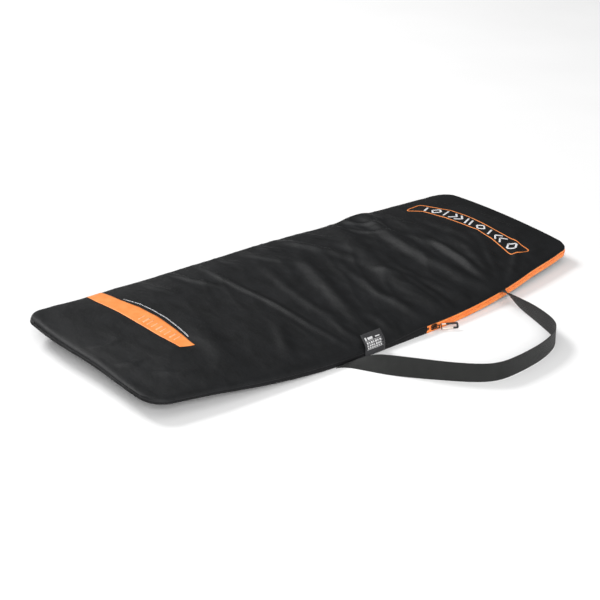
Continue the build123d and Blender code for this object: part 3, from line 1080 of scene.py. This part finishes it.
# ------------------------------------------------------------------ tag
def make_tag():
    x0, x1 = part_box("size_label")[0][0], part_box("size_label")[1][0]
    route = nurbs_points([(0, -0.3472, 0.003), (0, -0.3466, 0.018), (0, -0.3455, 0.031), (0, -0.335, 0.0415),
                          (0, -0.3235, 0.0530)])
    xs = np.linspace(x0, x1, 12)
    curl = 0.0016 * ((xs - xs.mean()) / (x1 - x0) * 2) ** 2
    rows_top = []
    for k, p in enumerate(route):
        share = k / (len(route) - 1)
        rows_top.append([(x, p[1] - c * share * 1.5, p[2] + c * share) for x, c in zip(xs, curl)])
    top = np.array(rows_top)
    slope = np.gradient(top, axis=0)
    normal = np.stack([np.zeros(slope.shape[:2]), -slope[..., 2], slope[..., 1]], axis=-1)
    normal /= np.linalg.norm(normal, axis=-1)[..., None]
    tag = closed_panel("size_tag", top, top - normal * 0.0008)
    fix_normals(tag)
    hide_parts("size_label")
    dress(tag, LABEL)
    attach(tag, "label")

    def mark(name, u0, u1, v0, v1):
        us, vs = np.linspace(u0, u1, 6), np.linspace(v0, v1, 4)
        rows = []
        for v in vs:
            f = v * (len(route) - 1)
            i = min(int(f), len(route) - 2)
            line = top[i] * (1 - (f - i)) + top[i + 1] * (f - i)
            face = normal[i]
            row = []
            for u in us:
                w = u * (len(xs) - 1)
                j = min(int(w), len(xs) - 2)
                t = w - j
                place = line[j] * (1 - t) + line[j + 1] * t
                row.append(place + (face[j] * (1 - t) + face[j + 1] * t) * 0.0002)
            rows.append(row)
        rows = np.array(rows)
        return closed_panel(name, rows, rows - np.array((0, -0.0001, 0)))

    parts = [mark(f"mark_row_{k}", 0.10, 0.90, 0.20 + 0.17 * k, 0.215 + 0.17 * k) for k in range(4)]
    cells = [(0.12, 0.20, 0.74, 0.88), (0.26, 0.52, 0.76, 0.86), (0.64, 0.86, 0.79, 0.83)]
    for k in range(7):
        left = 0.12 + 0.108 * k
        cells.append((left, left + (0.06 if k % 2 else 0.085), 0.56 + 0.012 * (k % 2), 0.665))
        cells.append((left, left + (0.085 if k % 3 else 0.05), 0.39, 0.495 - 0.012 * (k % 2)))
        cells.append((left + 0.01, left + 0.08, 0.235, 0.325))
    parts += [mark(f"cell_{k}", *cell) for k, cell in enumerate(cells)]
    marks = join("size_tag_marks", parts)
    fix_normals(marks)
    dress(marks, LABEL_MARK)
    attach(marks, "label")


# ------------------------------------------------------------------ slider and pull
PULL_PIN = frame["joints"][2]["pos_m"]
PULL_ANGLE = math.radians(-29.0)
PULL_ROLL = math.radians(50.0)


def on_pull(along, side, up=0.0):
    """A point given along and beside the pull, from its pin."""
    c, s = math.cos(PULL_ANGLE), math.sin(PULL_ANGLE)
    return (PULL_PIN[0] + along * c - side * s, PULL_PIN[1] + along * s + side * c, PULL_PIN[2] + up)


def tube(name, points, radius, sides=12):
    """A round tube along points, with rounded ends."""
    tangent = np.gradient(points, axis=0)
    tangent /= np.linalg.norm(tangent, axis=1)[:, None]
    side = np.cross(tangent, (0.0, 0.0, 1.0))
    side /= np.linalg.norm(side, axis=1)[:, None]
    up = np.cross(side, tangent)
    rings = [(points[0] - tangent[0] * radius * 0.7, 0.5, 0)]
    rings += [(p, 1.0, i) for i, p in enumerate(points)]
    rings.append((points[-1] + tangent[-1] * radius * 0.7, 0.5, len(points) - 1))
    verts = []
    for p, grow, i in rings:
        for k in range(sides):
            a = 2 * math.pi * k / sides
            verts.append(p + (side[i] * math.cos(a) + up[i] * math.sin(a)) * radius * grow)
    faces = []
    for i in range(len(rings) - 1):
        for k in range(sides):
            n = (k + 1) % sides
            faces.append([i * sides + k, i * sides + n, (i + 1) * sides + n, (i + 1) * sides + k])
    faces.append(list(range(sides))[::-1])
    faces.append([(len(rings) - 1) * sides + k for k in range(sides)])
    obj = new_object(name, verts, faces)
    fix_normals(obj)
    return obj


def make_pull():
    half = 6.0
    start, end = 16.6, 58.6
    route = [(start, -half), (28, -half), (40, -half), (50, -half), (end - 2.5, -half), (end, -half),
             (end, -half + 2.5), (end, half - 2.5), (end, half), (end - 2.5, half), (50, half), (40, half),
             (28, half), (start, half)]
    curve = bpy.data.curves.new("pull_loop", "CURVE")
    curve.dimensions = "3D"
    spline = curve.splines.new("NURBS")
    spline.points.add(len(route) - 1)
    for point, (along, side) in zip(spline.points, route):
        point.co = (*on_pull(along * MM, side * MM * math.cos(PULL_ROLL), side * MM * math.sin(PULL_ROLL)), 1)
    spline.order_u = 3
    spline.use_endpoint_u = True
    spline.resolution_u = 8
    curve.bevel_depth = 0.0014
    curve.bevel_resolution = 3
    curve.use_fill_caps = True
    loop = bpy.data.objects.new("pull_loop", curve)
    bpy.context.collection.objects.link(loop)
    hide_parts("pull_cord")
    dress(loop, CORD)
    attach(loop, "pull")
    grip_route = [on_pull(a * MM, b * MM * math.cos(PULL_ROLL), b * MM * math.sin(PULL_ROLL)) for a, b in (
        (48, -half), (54, -half), (end, -half), (end, -half + 3), (end, half - 3), (end, half), (52, half),
        (46, half), (38, half), (30, half))]
    grip = tube("grip_sleeve", nurbs_points([Vector(p) for p in grip_route]), 0.0026)
    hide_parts("pull_grip")
    dress(grip, RUBBER)
    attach(grip, "pull")
    nodes = frame["nodes"]
    for node, material in (("zip_slider", METAL), ("pull_tab", METAL), ("cord_clamp", RUBBER),
                           ("zip_start_stop", METAL), ("zip_end_stop", METAL), ("handle_tack_left", WEBBING),
                           ("handle_tack_right", WEBBING)):
        nodes[node].data.materials.clear()
        nodes[node].data.materials.append(material)


make_camera()
make_handle()
make_pull()
make_stage()
make_top_panel()
make_bottom_panel()
make_edges()
make_coil()
make_prints()
make_box_print()
make_tag()
